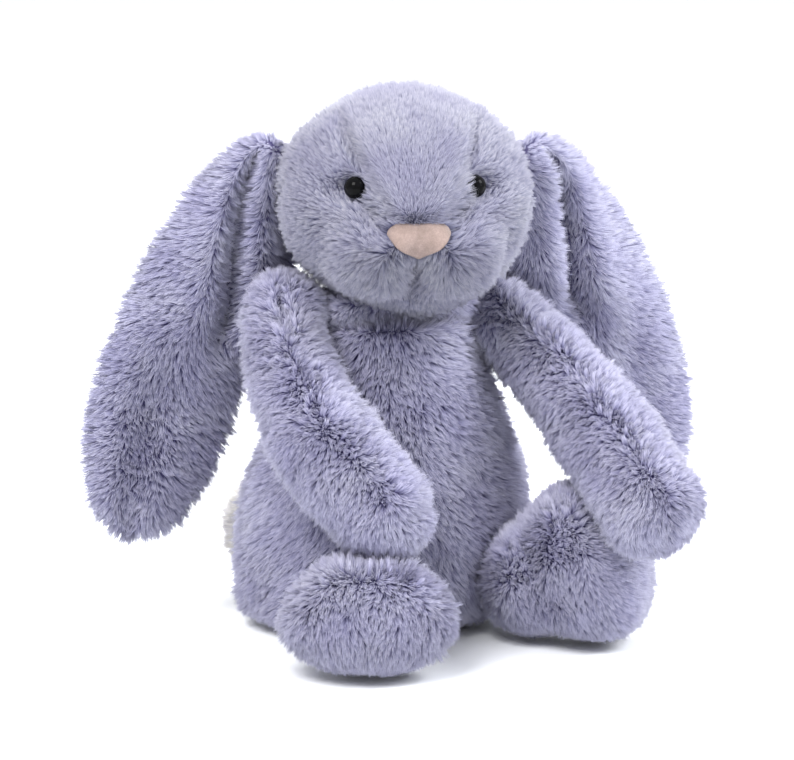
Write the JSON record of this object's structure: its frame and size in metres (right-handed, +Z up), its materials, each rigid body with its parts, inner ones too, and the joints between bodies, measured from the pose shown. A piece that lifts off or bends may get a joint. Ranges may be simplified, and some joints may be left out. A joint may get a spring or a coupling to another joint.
{
  "type": "stuffed bunny rabbit",
  "caption": "Sitting soft plush bunny with long lop ears, sewn pile covers over stuffing, glossy eyes, a suede nose and a round cream tail.",
  "frame": {"origin": "middle of the flat seat panel's underside", "axes": "+Z up, the bunny faces -Y, its left is +X"},
  "size_m": [0.259, 0.2122, 0.221],
  "materials": {
    "plush": "long soft pile",
    "face_plush": "short combed pile",
    "cream_plush": "fluffy pile",
    "suede": "fine suede nap",
    "gloss_black": "polished",
    "washer_plastic": "moulded",
    "stuffing": "fibre wadding",
    "bag_cloth": "plain calico",
    "beans": "moulded pellets",
    "thread": "twisted thread"
  },
  "bodies": {
    "torso": {"torso_front": "plush", "torso_back_left": "plush", "torso_back_right": "plush", "seat_panel": "plush", "torso_stuffing": "stuffing", "seat_bean_bag": "bag_cloth", "seat_beans": "beans", "closing_stitches": "thread", "tail_cover": "cream_plush", "tail_stuffing": "stuffing"},
    "neck": {"neck_seam": "plush"},
    "head": {"forehead_gusset": "face_plush", "face_left": "face_plush", "face_right": "face_plush", "head_back_left": "plush", "head_back_right": "plush", "head_stuffing": "stuffing", "nose_patch": "suede", "eye_left": "gloss_black", "eye_right": "gloss_black", "eye_washer_left": "washer_plastic", "eye_washer_right": "washer_plastic"},
    "ear_left": {"ear_left_outer": "plush", "ear_left_inner": "plush"},
    "ear_right": {"ear_right_outer": "plush", "ear_right_inner": "plush"},
    "arm_left": {"arm_left_outer": "plush", "arm_left_inner": "plush", "arm_left_stuffing": "stuffing"},
    "arm_right": {"arm_right_outer": "plush", "arm_right_inner": "plush", "arm_right_stuffing": "stuffing"},
    "leg_left": {"leg_left_outer": "plush", "leg_left_inner": "plush", "leg_left_stuffing": "stuffing", "leg_left_bean_bag": "bag_cloth"},
    "leg_right": {"leg_right_outer": "plush", "leg_right_inner": "plush", "leg_right_stuffing": "stuffing", "leg_right_bean_bag": "bag_cloth"}
  },
  "joints": [
    {"name": "head_turn", "type": "hinge", "parent": "torso", "child": "neck", "pos_m": [0.001, -0.019, 0.133], "axis": [0, 0, 1], "range_deg": [-10, 7], "stiffness_Nm_per_rad": 0.08},
    {"name": "head_nod", "type": "hinge", "parent": "neck", "child": "head", "pos_m": [0.001, -0.019, 0.133], "axis": [0.9659, -0.2588, 0], "range_deg": [-6, 8], "stiffness_Nm_per_rad": 0.15},
    {"name": "ear_left_lift", "type": "hinge", "parent": "head", "child": "ear_left", "pos_m": [0.0519, -0.027, 0.198], "axis": [-0.2588, -0.9659, 0], "range_deg": [0, 85]},
    {"name": "ear_right_lift", "type": "hinge", "parent": "head", "child": "ear_right", "pos_m": [-0.0448, -0.004, 0.2011], "axis": [0.2588, 0.9659, 0], "range_deg": [0, 85]},
    {"name": "arm_left_raise", "type": "hinge", "parent": "torso", "child": "arm_left", "pos_m": [0.045, -0.016, 0.126], "axis": [-0.9085, -0.4178, 0], "range_deg": [0, 60]},
    {"name": "arm_right_raise", "type": "hinge", "parent": "torso", "child": "arm_right", "pos_m": [-0.045, -0.015, 0.132], "axis": [-0.9672, -0.2541, 0], "range_deg": [0, 50]},
    {"name": "leg_left_splay", "type": "hinge", "parent": "torso", "child": "leg_left", "pos_m": [0.048, -0.057, 0.027], "axis": [0, 0, 1], "range_deg": [-5, 25]},
    {"name": "leg_right_splay", "type": "hinge", "parent": "torso", "child": "leg_right", "pos_m": [-0.033, -0.073, 0.024], "axis": [0, 0, 1], "range_deg": [-20, 8]}
  ]
}
